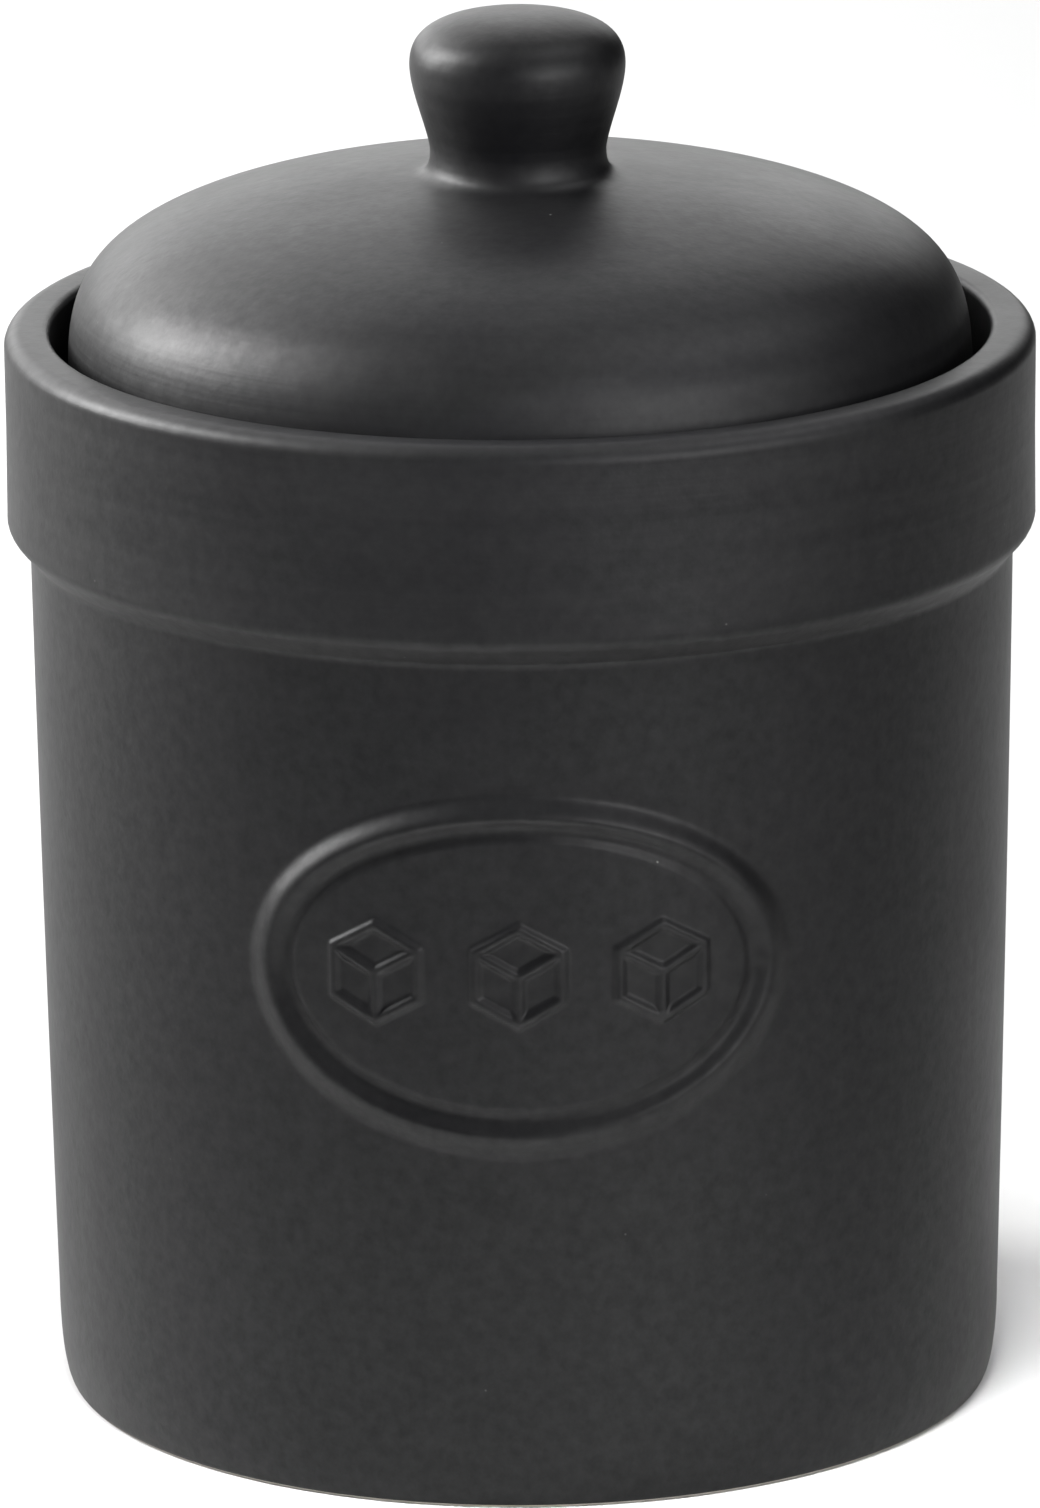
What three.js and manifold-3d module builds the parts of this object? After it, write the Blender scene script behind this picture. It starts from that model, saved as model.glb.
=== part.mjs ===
// Stoneware sugar canister: a straight-sided jar under a thick collar, with an oval plaque on its front,
// and a domed lid that sits inside the collar, with a knob on top and a silicone seal round its flange.
// Millimetres, +Z up. The origin is the centre of the foot ring's underside, and the plaque faces -Y.
import * as THREE from 'three';
import { mergeVertices } from 'three/addons/utils/BufferGeometryUtils.js';
import Module from 'manifold-3d';

// ---- Driving dimensions ----
const TOTAL_HEIGHT = 156.9;
const COLLAR_RADIUS = 57.5;
const RIM_HEIGHT = 121.7;
const GAP = 0.3; // left between pieces that touch on the real object

// ---- Jar ----
const RIM_THICKNESS = 5.1;
const RIM_OUTER_ROUNDING = 2.0;
const RIM_INNER_ROUNDING = 0.9;
const COLLAR_UNDERSIDE_HEIGHT = 97.2;
const COLLAR_UNDERSIDE_RISE = 2.1;
const COLLAR_EDGE_ROUNDING = 2.0;
const COLLAR_ROOT_FILLET = 1.3;
const WALL_TOP_RADIUS = 54.95;
const WALL_FOOT_RADIUS = 53.25;
const WALL_FOOT_HEIGHT = 10.0;
const FOOT_RADIUS = 51.8;
const FOOT_RING_WIDTH = 6.0;
const FOOT_RING_ROUNDING = 0.8;
const BASE_RECESS = 1.5;
const LEDGE_HEIGHT = 110.5;
const LEDGE_FILLET = 1.2;
const LEDGE_EDGE_ROUNDING = 0.8;
const BORE_RADIUS = 48.8;
const WALL_THICKNESS = 6.0;
const FLOOR_HEIGHT = 5.5;
const FLOOR_FILLET = 5.0;

// ---- Plaque ----
const PLAQUE_HEIGHT = 62.0;
const PLAQUE_HALF_WIDTH = 31.3;
const PLAQUE_HALF_HEIGHT = 20.6;
const FIELD_HALF_WIDTH = 25.9;
const FIELD_HALF_HEIGHT = 16.2;
const PLAQUE_EDGE = 0.45;
const PLAQUE_CREST = 1.2;
const PLAQUE_GROOVE = 0.5;
const FIELD_LEVEL = 0.8;
const CUBE_COUNT = 3;
const CUBE_PITCH = 15.6;
const CUBE_EDGE = 5.4;
const CUBE_STROKE = 1.5;
const CUBE_RELIEF = 0.45;
const CUBE_ROOT = 0.25;

// ---- Lid ----
const DOME_RADIUS = 50.5;
const DOME_BASE = 107.0;
const DOME_APEX = 139.1;
const DOME_SHOULDER_POWER = 5.6;
const DOME_CROWN_POWER = 1.6;
const DOME_THICKNESS = 5.5;
const DOME_EDGE_ROUNDING = 1.3;
const DOME_EDGE_SHARE = 0.998; // of its radius, where the dome's curve has become a straight side
const KNOB_SEAT_RADIUS = 12.3;
const FLANGE_RADIUS = 47.4;
const FLANGE_INNER_RADIUS = 39.5;
const FLANGE_BOTTOM = 101.2;
const FLANGE_DEPTH = 5.0; // straight inner wall of the flange, under the slope up to the dome
const FLANGE_SLOPE_RISE = 5.0;
const FLANGE_ROUNDING = 1.0;
const FLANGE_LIP_RADIUS = 45.8;
const FLANGE_LIP_THICKNESS = 1.7;
const GROOVE_RADIUS = 43.5;
const GROOVE_TOP = 108.9;

// ---- Knob ----
const KNOB_NECK_RADIUS = 9.8;
const KNOB_NECK_HEIGHT = 141.2;
const KNOB_RADIUS = 12.0;
const KNOB_WIDEST_HEIGHT = 151.2;
const KNOB_FOOT_EDGE = 0.3;

// ---- Seal ----
const SEAL_BAND_THICKNESS = 2.2;
const SEAL_RIB_COUNT = 3;
const SEAL_RIB_ROOT = 0.65;
const SEAL_RIB_TIP = 0.3;

// ---- Facets ----
const BODY_SEGMENTS = 48;
const KNOB_SEGMENTS = 32;
const PLAQUE_SEGMENTS = 48;
const CORNER_STEPS = 2;
const CURVE_STEPS = 7;

const GLAZE = { color: 0x2b2b2c, roughness: 0.45, metalness: 0.0 };
const SILICONE = { color: 0xcfcfca, roughness: 0.6, metalness: 0.0 };

// A profile of straight runs with rounded corners. Each corner is [radius, height, rounding].
function roundedProfile(corners) {
  const points = [];
  corners.forEach(([radius, height, rounding = 0], i) => {
    const corner = new THREE.Vector2(radius, height);
    if (rounding === 0) {
      points.push(corner);
      return;
    }
    const back = new THREE.Vector2(...corners[i - 1]).sub(corner).normalize();
    const ahead = new THREE.Vector2(...corners[i + 1]).sub(corner).normalize();
    const halfAngle = Math.acos(back.dot(ahead)) / 2;
    const reach = rounding / Math.tan(halfAngle);
    const toCentre = back.clone().add(ahead).normalize();
    const centre = corner.clone().addScaledVector(toCentre, rounding / Math.sin(halfAngle));
    const start = corner.clone().addScaledVector(back, reach).sub(centre);
    const sweep = Math.sign(back.cross(ahead)) * (2 * halfAngle - Math.PI);
    for (let step = 0; step <= CORNER_STEPS; step += 1) {
      const turn = (sweep * step) / CORNER_STEPS;
      points.push(start.clone().rotateAround(new THREE.Vector2(), turn).add(centre));
    }
  });
  return points;
}

// A solid of revolution about Z from a profile of (radius, height) points.
function revolved(profile, segments) {
  return new THREE.LatheGeometry(profile, segments).rotateX(Math.PI / 2);
}

function wallRadius(height) {
  const along = (height - WALL_FOOT_HEIGHT) / (COLLAR_UNDERSIDE_HEIGHT - WALL_FOOT_HEIGHT);
  return THREE.MathUtils.lerp(WALL_FOOT_RADIUS, WALL_TOP_RADIUS, along);
}

// ---- Jar: recessed base, foot ring, tapered wall, collar, rim, lid ledge and inside ----
function jarGeometry() {
  const footBend = new THREE.EllipseCurve(
    FOOT_RADIUS, WALL_FOOT_HEIGHT,
    WALL_FOOT_RADIUS - FOOT_RADIUS, WALL_FOOT_HEIGHT,
    -Math.PI / 2, 0,
  ).getPoints(CURVE_STEPS);
  const ringInner = FOOT_RADIUS - FOOT_RING_WIDTH;
  const rimInner = COLLAR_RADIUS - RIM_THICKNESS;
  const insideFoot = wallRadius(FLOOR_HEIGHT) - WALL_THICKNESS;
  const underside = roundedProfile([
    [0, BASE_RECESS],
    [ringInner - BASE_RECESS, BASE_RECESS, FOOT_RING_ROUNDING],
    [ringInner, 0, FOOT_RING_ROUNDING],
    [FOOT_RADIUS, 0],
  ]).slice(0, -1);
  const upper = roundedProfile([
    [WALL_FOOT_RADIUS, WALL_FOOT_HEIGHT],
    [WALL_TOP_RADIUS, COLLAR_UNDERSIDE_HEIGHT, COLLAR_ROOT_FILLET],
    [COLLAR_RADIUS, COLLAR_UNDERSIDE_HEIGHT + COLLAR_UNDERSIDE_RISE, COLLAR_EDGE_ROUNDING],
    [COLLAR_RADIUS, RIM_HEIGHT, RIM_OUTER_ROUNDING],
    [rimInner, RIM_HEIGHT, RIM_INNER_ROUNDING],
    [rimInner, LEDGE_HEIGHT, LEDGE_FILLET],
    [BORE_RADIUS, LEDGE_HEIGHT, LEDGE_EDGE_ROUNDING],
    [BORE_RADIUS, COLLAR_UNDERSIDE_HEIGHT],
    [insideFoot, FLOOR_HEIGHT, FLOOR_FILLET],
    [0, FLOOR_HEIGHT],
  ]).slice(1);
  return revolved([...underside, ...footBend, ...upper], BODY_SEGMENTS);
}

// ---- Plaque: a shape drawn as (across, up, out) is wrapped on the jar's wall ----
function wrapOnWall(geometry) {
  const position = geometry.attributes.position;
  for (let i = 0; i < position.count; i += 1) {
    const height = PLAQUE_HEIGHT + position.getY(i);
    const angle = position.getX(i) / wallRadius(PLAQUE_HEIGHT);
    const radius = wallRadius(height) + position.getZ(i);
    position.setXYZ(i, radius * Math.sin(angle), -radius * Math.cos(angle), height);
  }
  return geometry;
}

// The relief runs out from the centre: 0 to 1 crosses the field, 1 to 2 crosses the ring round it.
function ovalPlate() {
  const relief = [
    [0, GAP], [1 / 3, GAP], [2 / 3, GAP], [1, GAP], [2, GAP],
    [2, PLAQUE_EDGE], [1.75, PLAQUE_CREST - 0.15], [1.5, PLAQUE_CREST], [1.25, PLAQUE_CREST - 0.15],
    [1.05, PLAQUE_GROOVE], [1, PLAQUE_GROOVE], [0.985, FIELD_LEVEL],
    [2 / 3, FIELD_LEVEL], [1 / 3, FIELD_LEVEL], [0, FIELD_LEVEL],
  ].map(([out, level]) => new THREE.Vector2(out, level));
  const plate = revolved(relief, PLAQUE_SEGMENTS);
  const position = plate.attributes.position;
  for (let i = 0; i < position.count; i += 1) {
    const out = Math.hypot(position.getX(i), position.getY(i));
    const ring = Math.max(out - 1, 0);
    const inField = Math.min(out, 1) / Math.max(out, 1e-9);
    const across = inField + (ring * PLAQUE_HALF_WIDTH / FIELD_HALF_WIDTH - ring) / Math.max(out, 1);
    const up = inField + (ring * PLAQUE_HALF_HEIGHT / FIELD_HALF_HEIGHT - ring) / Math.max(out, 1);
    position.setX(i, position.getX(i) * across * FIELD_HALF_WIDTH);
    position.setY(i, position.getY(i) * up * FIELD_HALF_HEIGHT);
  }
  return plate;
}

// One sugar cube seen corner-on: a hexagon of raised strokes with three open rhombic faces.
function cubeOutline() {
  const hexagonPoint = (radius, corner) => {
    const angle = Math.PI / 2 + (corner * Math.PI) / 3;
    return new THREE.Vector2(radius * Math.cos(angle), radius * Math.sin(angle));
  };
  const outerRadius = CUBE_EDGE + CUBE_STROKE / Math.sqrt(3);
  const outline = new THREE.Shape([0, 1, 2, 3, 4, 5].map((corner) => hexagonPoint(outerRadius, corner)));
  const openShare = 1 - (2 * CUBE_STROKE) / (CUBE_EDGE * Math.sqrt(3));
  [0, 2, 4].forEach((corner) => {
    const middle = hexagonPoint(CUBE_EDGE / 2, corner);
    const face = [
      new THREE.Vector2(), hexagonPoint(CUBE_EDGE, corner - 1),
      hexagonPoint(CUBE_EDGE, corner), hexagonPoint(CUBE_EDGE, corner + 1),
    ];
    const opening = face.map((point) => point.sub(middle).multiplyScalar(openShare).add(middle));
    outline.holes.push(new THREE.Path(opening));
  });
  return outline;
}

function cubeRelief(across) {
  const geometry = new THREE.ExtrudeGeometry(cubeOutline(), {
    depth: CUBE_ROOT + CUBE_RELIEF,
    bevelEnabled: false,
  });
  return geometry.translate(across, 0, FIELD_LEVEL - CUBE_ROOT);
}

// ---- Joining with manifold-3d ----
const wasm = await Module();
wasm.setup();

function toSolid(geometry) {
  const bare = new THREE.BufferGeometry();
  bare.setAttribute('position', geometry.attributes.position);
  bare.setIndex(geometry.index);
  const merged = mergeVertices(bare);
  const triangles = [];
  const index = merged.index.array;
  for (let i = 0; i < index.length; i += 3) {
    const [a, b, c] = index.slice(i, i + 3);
    if (a !== b && b !== c && c !== a) {
      triangles.push(a, b, c);
    }
  }
  return new wasm.Manifold(new wasm.Mesh({
    numProp: 3,
    vertProperties: Float32Array.from(merged.attributes.position.array),
    triVerts: Uint32Array.from(triangles),
  }));
}

function toGeometry(solid) {
  const mesh = solid.getMesh();
  const geometry = new THREE.BufferGeometry();
  geometry.setAttribute('position', new THREE.BufferAttribute(mesh.vertProperties, mesh.numProp));
  geometry.setIndex(new THREE.BufferAttribute(mesh.triVerts, 1));
  geometry.computeVertexNormals();
  return geometry;
}

function plaqueGeometry() {
  let solid = toSolid(wrapOnWall(ovalPlate()));
  for (let i = 0; i < CUBE_COUNT; i += 1) {
    const across = (i - (CUBE_COUNT - 1) / 2) * CUBE_PITCH;
    solid = solid.add(toSolid(wrapOnWall(cubeRelief(across))));
  }
  return toGeometry(solid);
}

// ---- Lid: dome, seat, flange and seal groove ----
// The dome falls slowly from its crown and turns down steeply at its shoulder.
function domeHeight(radius, domeRadius, apex) {
  const fall = 1 - (radius / domeRadius) ** DOME_CROWN_POWER;
  return DOME_BASE + (apex - DOME_BASE) * fall ** (1 / DOME_SHOULDER_POWER);
}

function domeCurve(fromRadius, toRadius, domeRadius, apex) {
  const points = [];
  for (let step = 0; step <= CURVE_STEPS; step += 1) {
    const towardsEdge = Math.sin((step / CURVE_STEPS) * (Math.PI / 2));
    const radius = THREE.MathUtils.lerp(fromRadius, toRadius, towardsEdge);
    points.push(new THREE.Vector2(radius, domeHeight(radius, domeRadius, apex)));
  }
  return points;
}

function lidGeometry() {
  const innerRadius = DOME_RADIUS - DOME_THICKNESS;
  const inner = domeCurve(0, innerRadius * DOME_EDGE_SHARE, innerRadius, DOME_APEX - DOME_THICKNESS);
  const outer = domeCurve(KNOB_SEAT_RADIUS, DOME_RADIUS * DOME_EDGE_SHARE, DOME_RADIUS, DOME_APEX).reverse();
  const seatHeight = LEDGE_HEIGHT + GAP;
  const flange = roundedProfile([
    [innerRadius * DOME_EDGE_SHARE, inner[inner.length - 1].y],
    [innerRadius * DOME_EDGE_SHARE, FLANGE_BOTTOM + FLANGE_DEPTH + FLANGE_SLOPE_RISE, FLANGE_ROUNDING],
    [FLANGE_INNER_RADIUS, FLANGE_BOTTOM + FLANGE_DEPTH, FLANGE_ROUNDING],
    [FLANGE_INNER_RADIUS, FLANGE_BOTTOM, FLANGE_ROUNDING],
    [FLANGE_LIP_RADIUS, FLANGE_BOTTOM, FLANGE_LIP_THICKNESS / 3],
    [FLANGE_LIP_RADIUS, FLANGE_BOTTOM + FLANGE_LIP_THICKNESS],
    [GROOVE_RADIUS, FLANGE_BOTTOM + FLANGE_LIP_THICKNESS],
    [GROOVE_RADIUS, GROOVE_TOP],
    [FLANGE_RADIUS, GROOVE_TOP],
    [FLANGE_RADIUS, seatHeight],
    [DOME_RADIUS, seatHeight, DOME_EDGE_ROUNDING],
    [DOME_RADIUS, seatHeight + 2 * DOME_EDGE_ROUNDING],
  ]).slice(1, -1);
  const crown = [new THREE.Vector2(0, outer[outer.length - 1].y)];
  return revolved([...inner, ...flange, ...outer, ...crown], BODY_SEGMENTS);
}

// ---- Knob: luted to the crown, waisted at its neck and swelling to a rounded top ----
function knobGeometry() {
  const seat = domeHeight(KNOB_SEAT_RADIUS, DOME_RADIUS, DOME_APEX) + GAP;
  const outline = new THREE.Path();
  outline.moveTo(0, seat);
  outline.lineTo(KNOB_SEAT_RADIUS, seat);
  outline.lineTo(KNOB_SEAT_RADIUS, seat + KNOB_FOOT_EDGE);
  outline.quadraticCurveTo(
    KNOB_NECK_RADIUS, seat + KNOB_FOOT_EDGE,
    KNOB_NECK_RADIUS, KNOB_NECK_HEIGHT,
  );
  outline.bezierCurveTo(
    KNOB_NECK_RADIUS + 0.35, KNOB_NECK_HEIGHT + 2.9,
    KNOB_RADIUS, KNOB_WIDEST_HEIGHT - 3.0,
    KNOB_RADIUS, KNOB_WIDEST_HEIGHT,
  );
  outline.bezierCurveTo(
    KNOB_RADIUS, KNOB_WIDEST_HEIGHT + 3.5,
    KNOB_RADIUS * 0.77, TOTAL_HEIGHT,
    0, TOTAL_HEIGHT,
  );
  return revolved(outline.getPoints(CURVE_STEPS), KNOB_SEGMENTS);
}

// ---- Seal: a silicone band in the flange's groove, with ribs that press on the jar's bore ----
function sealGeometry() {
  const bandInner = GROOVE_RADIUS + GAP;
  const bandOuter = bandInner + SEAL_BAND_THICKNESS;
  const ribReach = BORE_RADIUS - GAP;
  const bottom = FLANGE_BOTTOM + FLANGE_LIP_THICKNESS + GAP;
  const top = GROOVE_TOP - GAP;
  const profile = [new THREE.Vector2(bandInner, bottom), new THREE.Vector2(bandOuter, bottom)];
  const pitch = (top - bottom) / SEAL_RIB_COUNT;
  for (let rib = 0; rib < SEAL_RIB_COUNT; rib += 1) {
    const middle = bottom + (rib + 0.5) * pitch;
    profile.push(
      new THREE.Vector2(bandOuter, middle - SEAL_RIB_ROOT),
      new THREE.Vector2(ribReach, middle - SEAL_RIB_TIP),
      new THREE.Vector2(ribReach, middle + SEAL_RIB_TIP),
      new THREE.Vector2(bandOuter, middle + SEAL_RIB_ROOT),
    );
  }
  profile.push(new THREE.Vector2(bandOuter, top), new THREE.Vector2(bandInner, top), profile[0].clone());
  return revolved(profile, BODY_SEGMENTS);
}

// ---- Assembly ----
function named(name, geometry, finish) {
  const mesh = new THREE.Mesh(geometry, new THREE.MeshStandardMaterial(finish));
  mesh.name = name;
  return mesh;
}

const canister = new THREE.Group();
canister.add(
  named('jar_body', jarGeometry(), GLAZE),
  named('jar_medallion', plaqueGeometry(), GLAZE),
  named('lid_dome', lidGeometry(), GLAZE),
  named('lid_knob', knobGeometry(), GLAZE),
  named('seal_ring', sealGeometry(), SILICONE),
);

export default canister;
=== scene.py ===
"""Looks of the stoneware sugar canister: its meshes, glaze, clay and silicone, the studio and the camera.

Profiles are drawn in millimetres and become metres when a mesh is made. The jar stands on z = 0 at the
origin, with its oval plaque towards -Y.
"""

import math

import bpy
import numpy as np
from mathutils import Matrix, Vector


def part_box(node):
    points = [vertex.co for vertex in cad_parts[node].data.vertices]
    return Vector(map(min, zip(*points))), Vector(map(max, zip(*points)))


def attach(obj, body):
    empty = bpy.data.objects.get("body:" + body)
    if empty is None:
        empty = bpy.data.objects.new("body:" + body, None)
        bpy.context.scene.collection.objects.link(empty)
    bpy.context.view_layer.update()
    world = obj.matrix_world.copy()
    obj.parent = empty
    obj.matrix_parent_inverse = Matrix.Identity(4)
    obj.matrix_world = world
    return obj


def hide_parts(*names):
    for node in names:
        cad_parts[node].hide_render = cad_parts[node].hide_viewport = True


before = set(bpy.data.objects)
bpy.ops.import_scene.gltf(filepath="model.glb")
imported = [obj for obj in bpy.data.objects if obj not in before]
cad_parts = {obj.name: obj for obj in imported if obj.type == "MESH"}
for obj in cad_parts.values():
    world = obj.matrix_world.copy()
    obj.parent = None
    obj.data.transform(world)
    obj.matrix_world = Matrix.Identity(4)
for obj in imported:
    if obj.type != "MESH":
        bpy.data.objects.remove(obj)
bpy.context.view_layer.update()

MM = 0.001


# ---- Sizes taken from the frame, in millimetres ----
def box_mm(node):
    """The lowest and highest corner of one node's box."""
    low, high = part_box(node)
    return low / MM, high / MM


jar_high = box_mm("jar_body")[1]
plaque_low, plaque_high = box_mm("jar_medallion")
dome_low, dome_high = box_mm("lid_dome")
knob_high = box_mm("lid_knob")[1]
seal_low, seal_high = box_mm("seal_ring")

COLLAR_RADIUS = jar_high.x
RIM_HEIGHT = jar_high.z
TOTAL_HEIGHT = knob_high.z
DOME_RADIUS = dome_high.x
FLANGE_BOTTOM = dome_low.z
SEAL_REACH = seal_high.x

# ---- Jar ----
RIM_THICKNESS = 5.1
RIM_OUTER_ROUNDING = 2.0
RIM_INNER_ROUNDING = 0.9
COLLAR_WAIST = 0.1
COLLAR_UNDERSIDE = 96.9
COLLAR_UNDERSIDE_RISE = 2.7
COLLAR_EDGE_ROUNDING = 2.4
COLLAR_ROOT_FILLET = 1.6
WALL_TOP_RADIUS = 54.95
WALL_FOOT_RADIUS = 53.25
WALL_FOOT_HEIGHT = 10.0
WALL_BULGE = 0.12
FOOT_RADIUS = 51.8
FOOT_RING_WIDTH = 6.0
FOOT_RING_ROUNDING = 0.8
GROUND_BAND = 0.25
BASE_RECESS = 1.5
LEDGE_HEIGHT = 110.5
LEDGE_FILLET = 1.2
LEDGE_EDGE_ROUNDING = 0.8
BORE_RADIUS = 48.8
WALL_THICKNESS = 6.0
FLOOR_HEIGHT = 5.5
FLOOR_FILLET = 5.0

# ---- Plaque ----
PLAQUE_HEIGHT = (plaque_low.z + plaque_high.z) / 2
OUTER_OVAL = (31.5, 21.1)
OUTER_OVAL_DROP = 0.5
FIELD_OVAL = (25.9, 16.2)
RING_CREST = 1.3
RING_OUTER_SLOPE = 0.6
RING_INNER_SLOPE = 0.36
GROOVE_LEVEL = 0.5
GROOVE_WIDTH = 0.3
FIELD_LEVEL = 0.85
FIELD_EDGE = 1.1
CUBE_PITCH = 15.6
CUBE_EDGE = 5.4
CUBE_STROKE = 1.7
CUBE_RELIEF = 0.5
CUBE_STROKE_CREST = 1.15

# ---- Lid ----
DOME_BASE = 107.0
DOME_APEX = 139.1
DOME_SHOULDER_POWER = 5.6
DOME_CROWN_POWER = 1.6
DOME_THICKNESS = 5.5
DOME_EDGE_ROUNDING = 1.3
DOME_EDGE_SHARE = 0.998
SEAT_GAP = 0.3
SEAT_HEIGHT = LEDGE_HEIGHT + SEAT_GAP
SEAT_BAND = 0.2
FACES_DOWN = -0.9
FLANGE_RADIUS = 47.4
FLANGE_INNER_RADIUS = 39.5
FLANGE_DEPTH = 5.0
FLANGE_SLOPE_RISE = 5.0
FLANGE_ROUNDING = 1.0
FLANGE_LIP_RADIUS = 45.8
FLANGE_LIP_THICKNESS = 1.7
GROOVE_RADIUS = 43.5
GROOVE_TOP = 108.9
GROOVE_ROUNDING = 0.4

# ---- Knob ----
KNOB_NECK_RADIUS = 9.8
KNOB_NECK_HEIGHT = 141.6
KNOB_RADIUS = 12.0
KNOB_WIDEST_HEIGHT = 151.2
KNOB_FILLET_REACH = 2.4
KNOB_FILLET_START = (0.3, 0.25)
KNOB_FILLET_RISE = 1.2
KNOB_FLARE_START = (0.35, 2.7)
KNOB_FLARE_FALL = 3.0
KNOB_CROWN_RISE = 3.5
KNOB_CROWN_SHARE = 0.77

# ---- Seal ----
SEAL_INNER_RADIUS = 43.8
SEAL_BAND_THICKNESS = 2.2
SEAL_RIB_COUNT = 3
SEAL_RIB_ROOT = 0.7
SEAL_RIB_TIP = 0.32
SEAL_TIP_ROUNDING = 0.25

# ---- Looks: colours are linear, depths are in metres and scales are waves or cells per metre ----
MOST_NOISE = (0.3, 0.7)
GLAZE_DARK = (0.0004, 0.0004, 0.0005)
GLAZE_LIGHT = (0.0008, 0.0008, 0.0009)
GLAZE_SPECK = (0.025, 0.025, 0.024)
GLAZE_SPECK_SCALE = 260
GLAZE_SPECK_REACH = 0.045
GLAZE_SPECK_SHARE = 0.12
GLAZE_ROUGHNESS = (0.47, 0.53)
GLAZE_SHEEN = (0.145, 0.21)
CLOUD_SCALE = 55
MOTTLE_SCALE = 620
ORANGE_PEEL_SCALE = 400
ORANGE_PEEL_DEPTH = 0.00003
GRAIN_SCALE = 1700
GRAIN_DEPTH = 0.000012
THROWING_LINE_SCALES = (9, 9, 430)
THROWING_LINE_DEPTH = 0.00009
THROWING_LINE_ROUGHNESS = (-0.02, 0.02)
THROWING_LINE_SHEEN = (-0.01, 0.03)
THROWING_LINES_FADE_IN = (0.092, 0.1)
THROWING_LINES_LOW_SHARE = 0.2
CLAY_DARK = (0.16, 0.145, 0.128)
CLAY_LIGHT = (0.21, 0.19, 0.167)
CLAY_SPECK = (0.05, 0.037, 0.029)
CLAY_SPECK_SCALE = 700
CLAY_SPECK_REACH = 0.2
CLAY_SPECK_SHARE = 0.12
CLAY_CLOUD_SCALE = 70
CLAY_GROG_SCALE = 900
CLAY_GROG_DEPTH = 0.00012
CLAY_ROUGHNESS = (0.82, 0.95)
SILICONE_DARK = (0.19, 0.19, 0.183)
SILICONE_LIGHT = (0.25, 0.25, 0.243)
SILICONE_CLOUD_SCALE = 120
SILICONE_SMEAR_SCALE = 800
SILICONE_ROUGHNESS = (0.42, 0.58)
SILICONE_GRAIN_SCALE = 2200
SILICONE_GRAIN_DEPTH = 0.00001
SILICONE_SCATTER_SHARE = 0.25
SILICONE_SCATTER_LENGTH = 0.003
SPECK_CORE = 0.4
SPECK_CUT = 0.001

# ---- Mesh density ----
PLAQUE_WINDOW = math.radians(34.3)
PLAQUE_COLUMNS = 236
PLAIN_COLUMNS = 104
PLAQUE_ROW_STEP = 0.255
PLAQUE_ROW_MARGIN = 0.7
LOWER_ROW_STEP = 5.0
UPPER_ROW_STEP = 4.0
LONGEST_RUN = 12.0
FOOT_BEND_STEPS = 12
ARC_STEP = math.radians(11)
FEWEST_ARC_STEPS = 3
LID_COLUMNS = 220
DOME_INSIDE_STEPS = 22
DOME_OUTSIDE_STEPS = 40
KNOB_STEPS = (8, 16, 20)
SEAL_COLUMNS = 160


# ---- Profiles: lists of (radius, height) in millimetres ----
def rounded_profile(corners):
    """Straight runs with rounded corners. Each corner is (radius, height) or (radius, height, rounding)."""
    points = []
    for i, corner in enumerate(corners):
        here = Vector(corner[:2])
        rounding = corner[2] if len(corner) > 2 else 0
        if not rounding:
            points.append(here)
            continue
        back = (Vector(corners[i - 1][:2]) - here).normalized()
        ahead = (Vector(corners[i + 1][:2]) - here).normalized()
        half_angle = back.angle(ahead) / 2
        centre = here + (back + ahead).normalized() * rounding / math.sin(half_angle)
        start = here + back * rounding / math.tan(half_angle) - centre
        turn = math.copysign(math.pi - 2 * half_angle, -(back.x * ahead.y - back.y * ahead.x))
        steps = max(FEWEST_ARC_STEPS, math.ceil(abs(turn) / ARC_STEP))
        for step in range(steps + 1):
            points.append(centre + Matrix.Rotation(turn * step / steps, 2) @ start)
    return [tuple(p) for p in points]


def bezier(start, start_pull, end_pull, end, steps):
    """Points along a cubic curve, without its first point."""
    points = []
    for step in range(1, steps + 1):
        t = step / steps
        weights = ((1 - t) ** 3, 3 * t * (1 - t) ** 2, 3 * t * t * (1 - t), t ** 3)
        controls = (start, start_pull, end_pull, end)
        points.append(tuple(sum(w * c[k] for w, c in zip(weights, controls)) for k in (0, 1)))
    return points


def with_rows(profile):
    """The same profile with extra points, so that no run is longer than LONGEST_RUN."""
    points = [profile[0]]
    for (r0, z0), (r1, z1) in zip(profile, profile[1:]):
        run = math.hypot(r1 - r0, z1 - z0)
        pieces = max(1, math.ceil(run / LONGEST_RUN))
        for k in range(1, pieces + 1):
            points.append((r0 + (r1 - r0) * k / pieces, z0 + (z1 - z0) * k / pieces))
    return points


def wall_radius(height):
    """The wall widens upwards and bulges very slightly."""
    along = (height - WALL_FOOT_HEIGHT) / (COLLAR_UNDERSIDE - WALL_FOOT_HEIGHT)
    taper = WALL_FOOT_RADIUS + (WALL_TOP_RADIUS - WALL_FOOT_RADIUS) * along
    return taper + WALL_BULGE * np.clip(4 * along * (1 - along), 0, 1)


def wall_rows():
    """Heights of the wall's rows, close together where the plaque is."""
    oval_middle = PLAQUE_HEIGHT - OUTER_OVAL_DROP
    plaque_bottom = oval_middle - OUTER_OVAL[1] - PLAQUE_ROW_MARGIN
    plaque_top = oval_middle + OUTER_OVAL[1] + PLAQUE_ROW_MARGIN
    heights = []
    for low, high, step in (
        (WALL_FOOT_HEIGHT, plaque_bottom, LOWER_ROW_STEP),
        (plaque_bottom, plaque_top, PLAQUE_ROW_STEP),
        (plaque_top, COLLAR_UNDERSIDE - 2 * COLLAR_ROOT_FILLET, UPPER_ROW_STEP),
    ):
        rows = math.ceil((high - low) / step)
        heights += [low + (high - low) * k / rows for k in range(1, rows + 1)]
    return heights


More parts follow.
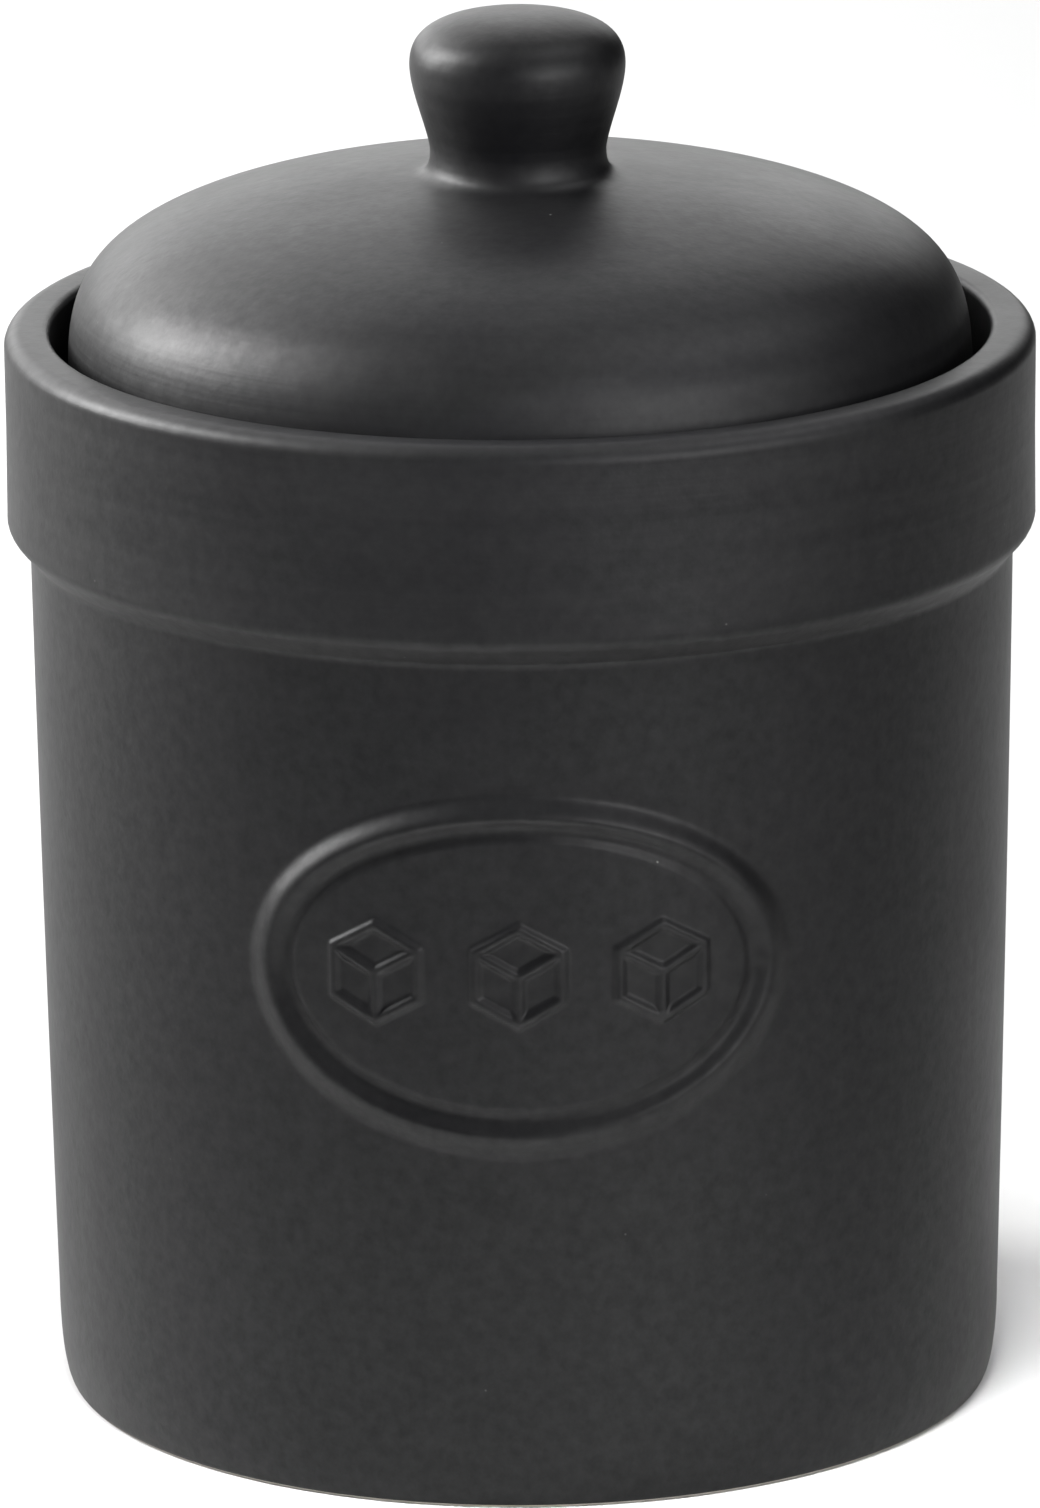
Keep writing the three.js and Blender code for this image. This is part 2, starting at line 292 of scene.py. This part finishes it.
def jar_profile():
    """Out along the underside, up the wall and collar, over the rim and down the inside to the floor."""
    ring_inner = FOOT_RADIUS - FOOT_RING_WIDTH
    rim_inner = COLLAR_RADIUS - RIM_THICKNESS
    inside_foot = float(wall_radius(FLOOR_HEIGHT)) - WALL_THICKNESS
    underside = rounded_profile([
        (0, BASE_RECESS),
        (ring_inner - BASE_RECESS, BASE_RECESS, FOOT_RING_ROUNDING),
        (ring_inner, 0, FOOT_RING_ROUNDING),
        (FOOT_RADIUS, 0),
    ])
    foot_bend = []
    for step in range(1, FOOT_BEND_STEPS + 1):
        angle = math.pi / 2 * step / FOOT_BEND_STEPS
        across = (WALL_FOOT_RADIUS - FOOT_RADIUS) * math.sin(angle)
        foot_bend.append((FOOT_RADIUS + across, WALL_FOOT_HEIGHT * (1 - math.cos(angle))))
    side = [(float(wall_radius(z)), z) for z in wall_rows()]
    upper = rounded_profile([
        side[-1],
        (WALL_TOP_RADIUS, COLLAR_UNDERSIDE, COLLAR_ROOT_FILLET),
        (COLLAR_RADIUS, COLLAR_UNDERSIDE + COLLAR_UNDERSIDE_RISE, COLLAR_EDGE_ROUNDING),
        (COLLAR_RADIUS, RIM_HEIGHT, RIM_OUTER_ROUNDING),
        (rim_inner, RIM_HEIGHT, RIM_INNER_ROUNDING),
        (rim_inner, LEDGE_HEIGHT, LEDGE_FILLET),
        (BORE_RADIUS, LEDGE_HEIGHT, LEDGE_EDGE_ROUNDING),
        (BORE_RADIUS, COLLAR_UNDERSIDE),
        (inside_foot, FLOOR_HEIGHT, FLOOR_FILLET),
        (0, FLOOR_HEIGHT),
    ])[1:]
    return underside + foot_bend + side + with_rows([side[-1]] + upper)[1:]


def dome_height(radius, dome_radius, apex):
    """The dome falls slowly from its crown and turns down steeply at its shoulder."""
    fall = max(0.0, 1 - (radius / dome_radius) ** DOME_CROWN_POWER)
    return DOME_BASE + (apex - DOME_BASE) * fall ** (1 / DOME_SHOULDER_POWER)


def dome_curve(start, end, dome_radius, apex, steps):
    """Points on the dome from one radius to another, closest together at its shoulder."""
    points = []
    for step in range(steps + 1):
        radius = start + (end - start) * math.sin(math.pi / 2 * step / steps)
        points.append((radius, dome_height(radius, dome_radius, apex)))
    return points


def lid_profile():
    """From under the crown down the inside, round the flange and its groove, and up over dome and knob."""
    inner_radius = DOME_RADIUS - DOME_THICKNESS
    inner_edge = inner_radius * DOME_EDGE_SHARE
    inner = dome_curve(0, inner_edge, inner_radius, DOME_APEX - DOME_THICKNESS, DOME_INSIDE_STEPS)
    fillet_foot = KNOB_NECK_RADIUS + KNOB_FILLET_REACH
    outer_edge = DOME_RADIUS * DOME_EDGE_SHARE
    outer = dome_curve(fillet_foot, outer_edge, DOME_RADIUS, DOME_APEX, DOME_OUTSIDE_STEPS)[::-1]
    flange = rounded_profile([
        inner[-1],
        (inner[-1][0], FLANGE_BOTTOM + FLANGE_DEPTH + FLANGE_SLOPE_RISE, FLANGE_ROUNDING),
        (FLANGE_INNER_RADIUS, FLANGE_BOTTOM + FLANGE_DEPTH, FLANGE_ROUNDING),
        (FLANGE_INNER_RADIUS, FLANGE_BOTTOM, FLANGE_ROUNDING),
        (FLANGE_LIP_RADIUS, FLANGE_BOTTOM, FLANGE_LIP_THICKNESS / 3),
        (FLANGE_LIP_RADIUS, FLANGE_BOTTOM + FLANGE_LIP_THICKNESS, GROOVE_ROUNDING),
        (GROOVE_RADIUS, FLANGE_BOTTOM + FLANGE_LIP_THICKNESS, GROOVE_ROUNDING),
        (GROOVE_RADIUS, GROOVE_TOP, GROOVE_ROUNDING),
        (FLANGE_RADIUS, GROOVE_TOP, GROOVE_ROUNDING),
        (FLANGE_RADIUS, SEAT_HEIGHT, GROOVE_ROUNDING),
        (DOME_RADIUS, SEAT_HEIGHT, DOME_EDGE_ROUNDING),
        (DOME_RADIUS, SEAT_HEIGHT + 2 * DOME_EDGE_ROUNDING),
    ])[1:-1]
    return inner + flange + outer + knob_curve(outer[-1])


def knob_curve(foot):
    """From the dome up a concave fillet, in at the neck, out to the widest point and over the top."""
    neck = (KNOB_NECK_RADIUS, KNOB_NECK_HEIGHT)
    widest = (KNOB_RADIUS, KNOB_WIDEST_HEIGHT)
    top = (0, TOTAL_HEIGHT)
    fillet_start = (KNOB_NECK_RADIUS + KNOB_FILLET_START[0], foot[1] + KNOB_FILLET_START[1])
    fillet_end = (KNOB_NECK_RADIUS, foot[1] + KNOB_FILLET_RISE)
    flare_start = (KNOB_NECK_RADIUS + KNOB_FLARE_START[0], neck[1] + KNOB_FLARE_START[1])
    flare_end = (KNOB_RADIUS, widest[1] - KNOB_FLARE_FALL)
    crown_start = (KNOB_RADIUS, widest[1] + KNOB_CROWN_RISE)
    crown_end = (KNOB_RADIUS * KNOB_CROWN_SHARE, TOTAL_HEIGHT)
    fillet = bezier(foot, fillet_start, fillet_end, neck, KNOB_STEPS[0])
    flare = bezier(neck, flare_start, flare_end, widest, KNOB_STEPS[1])
    crown = bezier(widest, crown_start, crown_end, top, KNOB_STEPS[2])
    return fillet + flare + crown


def seal_profile():
    """A band with ribs outside, drawn as a closed loop that starts halfway up its inner side."""
    band_outer = SEAL_INNER_RADIUS + SEAL_BAND_THICKNESS
    low = seal_low.z
    high = seal_high.z
    pitch = (high - low) / SEAL_RIB_COUNT
    corners = [(SEAL_INNER_RADIUS, (low + high) / 2), (SEAL_INNER_RADIUS, low, SEAL_TIP_ROUNDING)]
    corners.append((band_outer, low, SEAL_TIP_ROUNDING / 2))
    for rib in range(SEAL_RIB_COUNT):
        middle = low + (rib + 0.5) * pitch
        corners += [
            (band_outer, middle - SEAL_RIB_ROOT, SEAL_TIP_ROUNDING / 2),
            (SEAL_REACH, middle - SEAL_RIB_TIP, SEAL_TIP_ROUNDING),
            (SEAL_REACH, middle + SEAL_RIB_TIP, SEAL_TIP_ROUNDING),
            (band_outer, middle + SEAL_RIB_ROOT, SEAL_TIP_ROUNDING / 2),
        ]
    corners += [(band_outer, high, SEAL_TIP_ROUNDING / 2), (SEAL_INNER_RADIUS, high, SEAL_TIP_ROUNDING)]
    corners.append(corners[0])
    return rounded_profile(corners)[:-1]


# ---- Relief of the plaque: height over the wall, in millimetres ----
def smooth(t):
    """Goes from 0 to 1 as t does, and is level at both ends."""
    t = np.clip(t, 0, 1)
    return t * t * (3 - 2 * t)


def beyond_oval(across, up, half_axes):
    """Distance outside an oval, close to true near its edge, and negative inside."""
    a, b = half_axes
    level = np.maximum(np.hypot(across / a, up / b), 1e-6)
    slope = np.hypot(across / a ** 2, up / b ** 2) / level
    return (level - 1) / np.maximum(slope, 1e-6)


def distance_to_stroke(across, up, start, end):
    """Distance from the nearest point of a straight line between two points."""
    run = np.subtract(end, start)
    share = ((across - start[0]) * run[0] + (up - start[1]) * run[1]) / (run @ run)
    share = np.clip(share, 0, 1)
    return np.hypot(across - start[0] - share * run[0], up - start[1] - share * run[1])


def cube_strokes(centre):
    """The nine edges seen when a sugar cube is looked at corner-on."""
    def corner(k):
        angle = math.pi / 2 + k * math.pi / 3
        return (centre + CUBE_EDGE * math.cos(angle), CUBE_EDGE * math.sin(angle))

    rim = [(corner(k), corner(k + 1)) for k in range(6)]
    spokes = [((centre, 0.0), corner(k)) for k in (1, 3, 5)]
    return rim + spokes


def plaque_relief(across, up):
    """A rounded ring, a groove inside it and a flat field with three sugar cubes in raised outline."""
    outside = beyond_oval(across, up + OUTER_OVAL_DROP, OUTER_OVAL)
    field = beyond_oval(across, up, FIELD_OVAL)
    ring_width = np.maximum(field - outside, 1e-6)
    ring = np.clip(field / ring_width, 0, 1)
    outer_slope = smooth((1 - ring) / RING_OUTER_SLOPE)
    inner_slope = smooth((ring * ring_width - GROOVE_WIDTH) / (RING_INNER_SLOPE * ring_width))
    bulge = GROOVE_LEVEL + (RING_CREST - GROOVE_LEVEL) * inner_slope
    plateau = GROOVE_LEVEL + (FIELD_LEVEL - GROOVE_LEVEL) * smooth(-field / FIELD_EDGE)
    height = np.where(field > 0, bulge * outer_slope, plateau)
    strokes = np.full_like(height, np.inf)
    for centre in (-CUBE_PITCH, 0.0, CUBE_PITCH):
        for start, end in cube_strokes(centre):
            strokes = np.minimum(strokes, distance_to_stroke(across, up, start, end))
    return height + CUBE_RELIEF * smooth(CUBE_STROKE_CREST * (1 - strokes / (CUBE_STROKE / 2)))


# ---- Meshes ----
def even_columns(count):
    """Angles in equal steps all the way round."""
    return np.arange(count) * 2 * math.pi / count


def plaque_columns():
    """Angles round the jar from -Y, close together where the plaque is."""
    near = np.linspace(-PLAQUE_WINDOW, PLAQUE_WINDOW, PLAQUE_COLUMNS + 1)
    far = np.linspace(PLAQUE_WINDOW, 2 * math.pi - PLAQUE_WINDOW, PLAIN_COLUMNS + 1)
    return np.concatenate([near, far[1:-1]])


def revolve(name, profile, angles, reshape=None):
    """A closed mesh from a profile that starts and ends on the axis, or that closes on itself."""
    on_axis = profile[0][0] == 0
    rings = profile[1:-1] if on_axis else profile
    radius = np.repeat(np.array([p[0] for p in rings])[:, None], len(angles), 1)
    height = np.repeat(np.array([p[1] for p in rings])[:, None], len(angles), 1)
    angle = np.repeat(angles[None, :], len(rings), 0)
    if reshape:
        radius = reshape(radius, height, angle)
    x = radius * np.sin(angle)
    y = -radius * np.cos(angle)
    vertices = np.stack([x, y, height], -1).reshape(-1, 3)
    rows, columns = angle.shape
    index = np.arange(rows * columns).reshape(rows, columns)
    low = index[:-1] if on_axis else index
    high = index[1:] if on_axis else np.roll(index, -1, 0)
    quads = np.stack([low, np.roll(low, -1, 1), np.roll(high, -1, 1), high], -1).reshape(-1, 4)
    faces = quads.tolist()
    if on_axis:
        first, last = rows * columns, rows * columns + 1
        vertices = np.vstack([vertices, [0, 0, profile[0][1]], [0, 0, profile[-1][1]]])
        bottom, top = index[0], index[-1]
        faces += [[first, int(b), int(a)] for a, b in zip(bottom, np.roll(bottom, -1))]
        faces += [[last, int(a), int(b)] for a, b in zip(top, np.roll(top, -1))]
    mesh = bpy.data.meshes.new(name)
    mesh.from_pydata((vertices * MM).tolist(), [], faces)
    mesh.validate()
    mesh.shade_smooth()
    obj = bpy.data.objects.new(name, mesh)
    bpy.context.scene.collection.objects.link(obj)
    return obj


def shape_jar(radius, height, angle):
    """Adds the plaque's relief and the collar's slight waist to the turned jar."""
    on_wall = np.isclose(radius, wall_radius(height), atol=1e-4)
    on_wall &= (height > WALL_FOOT_HEIGHT) & (height < COLLAR_UNDERSIDE)
    facing = (angle + math.pi) % (2 * math.pi) - math.pi
    across = facing * float(wall_radius(PLAQUE_HEIGHT))
    up = height - PLAQUE_HEIGHT
    relief = plaque_relief(across, up)
    in_window = on_wall & (beyond_oval(across, up + OUTER_OVAL_DROP, OUTER_OVAL) < 1)
    collar_middle = (COLLAR_UNDERSIDE + RIM_HEIGHT) / 2
    collar_half = (RIM_HEIGHT - COLLAR_UNDERSIDE) / 2
    waist = COLLAR_WAIST * np.clip(1 - ((height - collar_middle) / collar_half) ** 2, 0, 1)
    waist = np.where(np.isclose(radius, COLLAR_RADIUS), waist, 0)
    return radius + np.where(in_window, relief, 0) - waist


def paint_faces(obj, slots, chooser):
    """Gives each face the material index that chooser picks from its centres and normals."""
    for material in slots:
        obj.data.materials.append(material)
    count = len(obj.data.polygons)
    centres = np.zeros(count * 3)
    normals = np.zeros(count * 3)
    obj.data.polygons.foreach_get("center", centres)
    obj.data.polygons.foreach_get("normal", normals)
    chosen = chooser(centres.reshape(-1, 3) / MM, normals.reshape(-1, 3))
    obj.data.polygons.foreach_set("material_index", chosen.astype(np.int32))


# ---- Materials ----
class Nodes:
    """Short ways to add and link the nodes of one material."""

    def __init__(self, name):
        self.material = bpy.data.materials.new(name)
        self.material.use_nodes = True
        self.tree = self.material.node_tree
        self.shader = self.tree.nodes["Principled BSDF"]
        self.place = self.tree.nodes.new("ShaderNodeTexCoord").outputs["Object"]

    def link(self, source, socket):
        self.tree.links.new(source, socket)

    def stretched(self, scale):
        node = self.tree.nodes.new("ShaderNodeMapping")
        node.inputs["Scale"].default_value = scale
        self.link(self.place, node.inputs["Vector"])
        return node.outputs["Vector"]

    def part(self, vector, axis):
        """One of the three numbers in a vector or colour: X, Y or Z."""
        node = self.tree.nodes.new("ShaderNodeSeparateXYZ")
        self.link(vector, node.inputs["Vector"])
        return node.outputs[axis]

    def noise(self, scale, detail=3.0, roughness=0.5, place=None):
        node = self.tree.nodes.new("ShaderNodeTexNoise")
        node.inputs["Scale"].default_value = scale
        node.inputs["Detail"].default_value = detail
        node.inputs["Roughness"].default_value = roughness
        self.link(place or self.place, node.inputs["Vector"])
        return node.outputs["Fac"]

    def specks(self, scale, reach, share):
        """1 on small round specks. Each cell of a random mesh may hold one, and share says how many do."""
        node = self.tree.nodes.new("ShaderNodeTexVoronoi")
        node.inputs["Scale"].default_value = scale
        self.link(self.place, node.inputs["Vector"])
        near = self.ranged(node.outputs["Distance"], reach, reach * SPECK_CORE, 0, 1)
        lot = self.part(node.outputs["Color"], "X")
        picked = self.ranged(lot, 1 - share, 1 - share + SPECK_CUT, 0, 1)
        return self.maths("MULTIPLY", near, picked)

    def ranged(self, value, from_low, from_high, to_low, to_high):
        node = self.tree.nodes.new("ShaderNodeMapRange")
        node.inputs["From Min"].default_value = from_low
        node.inputs["From Max"].default_value = from_high
        node.inputs["To Min"].default_value = to_low
        node.inputs["To Max"].default_value = to_high
        self.link(value, node.inputs["Value"])
        return node.outputs["Result"]

    def spread(self, noise, low, high):
        """Turns most of a noise's values into the values from low to high."""
        return self.ranged(noise, *MOST_NOISE, low, high)

    def maths(self, operation, first, second):
        node = self.tree.nodes.new("ShaderNodeMath")
        node.operation = operation
        self.link(first, node.inputs[0])
        self.link(second, node.inputs[1])
        return node.outputs["Value"]

    def mixed(self, share, first, second):
        """A blend of two colours, each a tuple or a node's output."""
        node = self.tree.nodes.new("ShaderNodeMix")
        node.data_type = "RGBA"
        self.link(share, node.inputs["Factor"])
        for name, colour in (("A", first), ("B", second)):
            socket = [s for s in node.inputs if s.name == name and s.type == "RGBA"][0]
            if isinstance(colour, tuple):
                socket.default_value = (*colour, 1)
            else:
                self.link(colour, socket)
        return [s for s in node.outputs if s.type == "RGBA"][0]

    def bumped(self, height, distance, under=None):
        """A normal tilted by relief up to distance metres high, on top of the one under it."""
        node = self.tree.nodes.new("ShaderNodeBump")
        node.inputs["Distance"].default_value = distance
        self.link(height, node.inputs["Height"])
        if under:
            self.link(under, node.inputs["Normal"])
        return node.outputs["Normal"]


def matt_black_glaze():
    """Near black with a soft sheen, mottled, with faint throwing lines that are strongest on the collar."""
    n = Nodes("matt_black_glaze")
    clouds = n.noise(CLOUD_SCALE, detail=4)
    mottle = n.noise(MOTTLE_SCALE, detail=4, roughness=0.65)
    streaks = n.noise(1, detail=3, place=n.stretched(THROWING_LINE_SCALES))
    height = n.part(n.place, "Z")
    strength = n.ranged(height, *THROWING_LINES_FADE_IN, THROWING_LINES_LOW_SHARE, 1)
    thrown = n.maths("MULTIPLY", streaks, strength)

    colour = n.mixed(n.spread(clouds, 0, 1), GLAZE_DARK, GLAZE_LIGHT)
    specks = n.specks(GLAZE_SPECK_SCALE, GLAZE_SPECK_REACH, GLAZE_SPECK_SHARE)
    n.link(n.mixed(specks, colour, GLAZE_SPECK), n.shader.inputs["Base Color"])

    rough = n.ranged(clouds, 0.25, 0.75, *GLAZE_ROUGHNESS)
    rough = n.maths("ADD", rough, n.spread(thrown, *THROWING_LINE_ROUGHNESS))
    n.link(rough, n.shader.inputs["Roughness"])

    sheen = n.spread(mottle, *GLAZE_SHEEN)
    sheen = n.maths("ADD", sheen, n.spread(thrown, *THROWING_LINE_SHEEN))
    n.link(sheen, n.shader.inputs["Specular IOR Level"])

    peel = n.bumped(n.noise(ORANGE_PEEL_SCALE, detail=2), ORANGE_PEEL_DEPTH)
    grain = n.bumped(n.noise(GRAIN_SCALE, detail=2), GRAIN_DEPTH, under=peel)
    n.link(n.bumped(thrown, THROWING_LINE_DEPTH, under=grain), n.shader.inputs["Normal"])
    return n.material


def bare_clay():
    """Unglazed stoneware with dark specks, where the foot ring and the lid's seat were wiped clean."""
    n = Nodes("bare_stoneware")
    colour = n.mixed(n.spread(n.noise(CLAY_CLOUD_SCALE), 0, 1), CLAY_DARK, CLAY_LIGHT)
    specks = n.specks(CLAY_SPECK_SCALE, CLAY_SPECK_REACH, CLAY_SPECK_SHARE)
    n.link(n.mixed(specks, colour, CLAY_SPECK), n.shader.inputs["Base Color"])
    grog = n.noise(CLAY_GROG_SCALE, detail=4, roughness=0.65)
    n.link(n.spread(grog, *CLAY_ROUGHNESS), n.shader.inputs["Roughness"])
    n.link(n.bumped(grog, CLAY_GROG_DEPTH), n.shader.inputs["Normal"])
    return n.material


def silicone():
    """Cloudy white silicone that lets a little light in."""
    n = Nodes("silicone")
    clouds = n.noise(SILICONE_CLOUD_SCALE)
    n.link(n.mixed(clouds, SILICONE_DARK, SILICONE_LIGHT), n.shader.inputs["Base Color"])
    smears = n.noise(SILICONE_SMEAR_SCALE)
    n.link(n.spread(smears, *SILICONE_ROUGHNESS), n.shader.inputs["Roughness"])
    grain = n.noise(SILICONE_GRAIN_SCALE)
    n.link(n.bumped(grain, SILICONE_GRAIN_DEPTH), n.shader.inputs["Normal"])
    n.shader.inputs["Subsurface Weight"].default_value = SILICONE_SCATTER_SHARE
    n.shader.inputs["Subsurface Radius"].default_value = (SILICONE_SCATTER_LENGTH,) * 3
    return n.material


# ---- Pieces ----
def on_foot_ring(centre, normal):
    """The faces at the very bottom, where the glaze is ground off."""
    return centre[:, 2] < GROUND_BAND


def make_jar(glaze, clay):
    jar = revolve("jar", jar_profile(), plaque_columns(), shape_jar)
    paint_faces(jar, (glaze, clay), on_foot_ring)
    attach(jar, "jar")
    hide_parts("jar_body", "jar_medallion")


def on_seat(centre, normal):
    """The faces of the ring that the lid rests on."""
    out = np.hypot(centre[:, 0], centre[:, 1])
    under = (normal[:, 2] < FACES_DOWN) & (out > FLANGE_RADIUS)
    return under & (np.abs(centre[:, 2] - SEAT_HEIGHT) < SEAT_BAND)


def make_lid(glaze, clay):
    lid = revolve("lid", lid_profile(), even_columns(LID_COLUMNS))
    paint_faces(lid, (glaze, clay), on_seat)
    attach(lid, "lid")
    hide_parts("lid_dome", "lid_knob")


def make_seal(material):
    seal = revolve("seal", seal_profile(), even_columns(SEAL_COLUMNS))
    seal.data.materials.append(material)
    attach(seal, "seal")
    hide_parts("seal_ring")


# ---- Studio: lengths in metres, angles in degrees and power in watts ----
FLOOR_RADIUS = 1.3
FLOOR_CORNERS = 180
FLOOR_DARK = (0.33, 0.33, 0.33)
FLOOR_LIGHT = (0.35, 0.35, 0.35)
FLOOR_PATCH_SCALE = 3
FLOOR_ROUGHNESS = 0.9
SURROUND = (0.95, 0.95, 0.95)
CANISTER_MIDDLE = (0, 0, 0.08)
FLOOR_IN_FRONT = (0, -0.11, 0)

# Name, azimuth, elevation, distance, width and height, power. Azimuth 0 is in front, and 90 to the right.
SOFTBOXES = (
    ("left", 253, 24, 1.4, (0.45, 0.6), 55),
    ("left_high", 270, 40, 1.4, (0.35, 0.45), 21.5),
    ("left_front", 315, 14, 1.6, (0.6, 0.7), 0.8),
    ("back_left", 212, 16, 1.6, (0.8, 0.6), 8.2),
    ("back_left_high", 222, 38, 1.6, (0.8, 0.6), 11.3),
    ("back", 180, 14, 1.8, (1.2, 0.5), 8.5),
    ("back_high", 182, 38, 1.6, (1.0, 0.6), 6),
    ("right_front", 34, 14, 1.6, (0.6, 0.7), 21.5),
    ("right", 62, 14, 1.6, (0.5, 0.6), 7),
    ("right_high", 90, 62, 1.5, (0.8, 0.8), 10.8),
    ("front_high", 0, 66, 1.5, (0.8, 0.8), 1.2),
)
FLOOR_LAMP = ("floor_front", 0, 90, 0.18, (0.12, 0.12), 2.6)


def make_floor():
    """A plain pale disc that the canister stands on."""
    n = Nodes("studio_floor")
    n.link(n.mixed(n.noise(FLOOR_PATCH_SCALE), FLOOR_DARK, FLOOR_LIGHT), n.shader.inputs["Base Color"])
    n.shader.inputs["Roughness"].default_value = FLOOR_ROUGHNESS
    n.shader.inputs["Specular IOR Level"].default_value = 0.0
    turns = even_columns(FLOOR_CORNERS)
    edge = [(FLOOR_RADIUS * math.cos(a), FLOOR_RADIUS * math.sin(a), 0) for a in turns]
    mesh = bpy.data.meshes.new("floor")
    mesh.from_pydata(edge, [], [range(FLOOR_CORNERS)])
    mesh.materials.append(n.material)
    floor = bpy.data.objects.new("floor", mesh)
    bpy.context.scene.collection.objects.link(floor)


def softbox(name, azimuth, elevation, distance, size, power, aim=CANISTER_MIDDLE):
    """An area light that faces the point it is aimed at."""
    a = math.radians(azimuth)
    e = math.radians(elevation)
    away = Vector((math.sin(a) * math.cos(e), -math.cos(a) * math.cos(e), math.sin(e)))
    data = bpy.data.lights.new(name, "AREA")
    data.shape = "RECTANGLE"
    data.size, data.size_y = size
    data.energy = power
    light = bpy.data.objects.new(name, data)
    light.location = Vector(aim) + away * distance
    light.rotation_euler = away.to_track_quat("Z", "Y").to_euler()
    bpy.context.scene.collection.objects.link(light)
    return light


def make_world():
    """A pale surround that is seen beyond the floor but doesn't light or reflect in the canister."""
    world = bpy.data.worlds.new("studio")
    world.use_nodes = True
    world.node_tree.nodes["Background"].inputs["Color"].default_value = (*SURROUND, 1)
    bpy.context.scene.world = world
    world.cycles_visibility.diffuse = False
    world.cycles_visibility.glossy = False
    world.cycles_visibility.transmission = False


def make_studio():
    make_floor()
    make_world()
    for row in SOFTBOXES:
        softbox(*row)
    lamp = softbox(*FLOOR_LAMP, aim=FLOOR_IN_FRONT)
    lamp.visible_glossy = False


# ---- Camera: the photograph's viewing angle, with lens and sensor in millimetres ----
CAMERA_AZIMUTH = math.radians(0.8)
CAMERA_ELEVATION = math.radians(16.05)
CAMERA_PITCH = math.radians(15.81)
CAMERA_ROLL = math.radians(-0.527)
CAMERA_YAW = math.radians(0.0165)
CAMERA_DISTANCE = 1.504
CAMERA_TARGET_HEIGHT = 0.065
CAMERA_LENS = 319.0
CAMERA_SENSOR = 36.0
CAMERA_REACH = 20


def make_camera():
    data = bpy.data.cameras.new("camera")
    data.lens = CAMERA_LENS
    data.sensor_width = CAMERA_SENSOR
    data.clip_end = CAMERA_REACH
    camera = bpy.data.objects.new("camera", data)
    turn = Matrix.Rotation(CAMERA_AZIMUTH, 4, "Z")
    flat = CAMERA_DISTANCE * math.cos(CAMERA_ELEVATION)
    rise = CAMERA_TARGET_HEIGHT + CAMERA_DISTANCE * math.sin(CAMERA_ELEVATION)
    aim = Matrix.Rotation(CAMERA_YAW, 4, "Z") @ Matrix.Rotation(math.pi / 2 - CAMERA_PITCH, 4, "X")
    roll = Matrix.Rotation(CAMERA_ROLL, 4, "Z")
    camera.matrix_world = turn @ Matrix.Translation((0, -flat, rise)) @ aim @ roll
    bpy.context.scene.collection.objects.link(camera)
    bpy.context.scene.camera = camera


make_camera()
glaze = matt_black_glaze()
clay = bare_clay()
make_jar(glaze, clay)
make_lid(glaze, clay)
make_seal(silicone())
make_studio()
bpy.context.scene.view_settings.view_transform = "Standard"
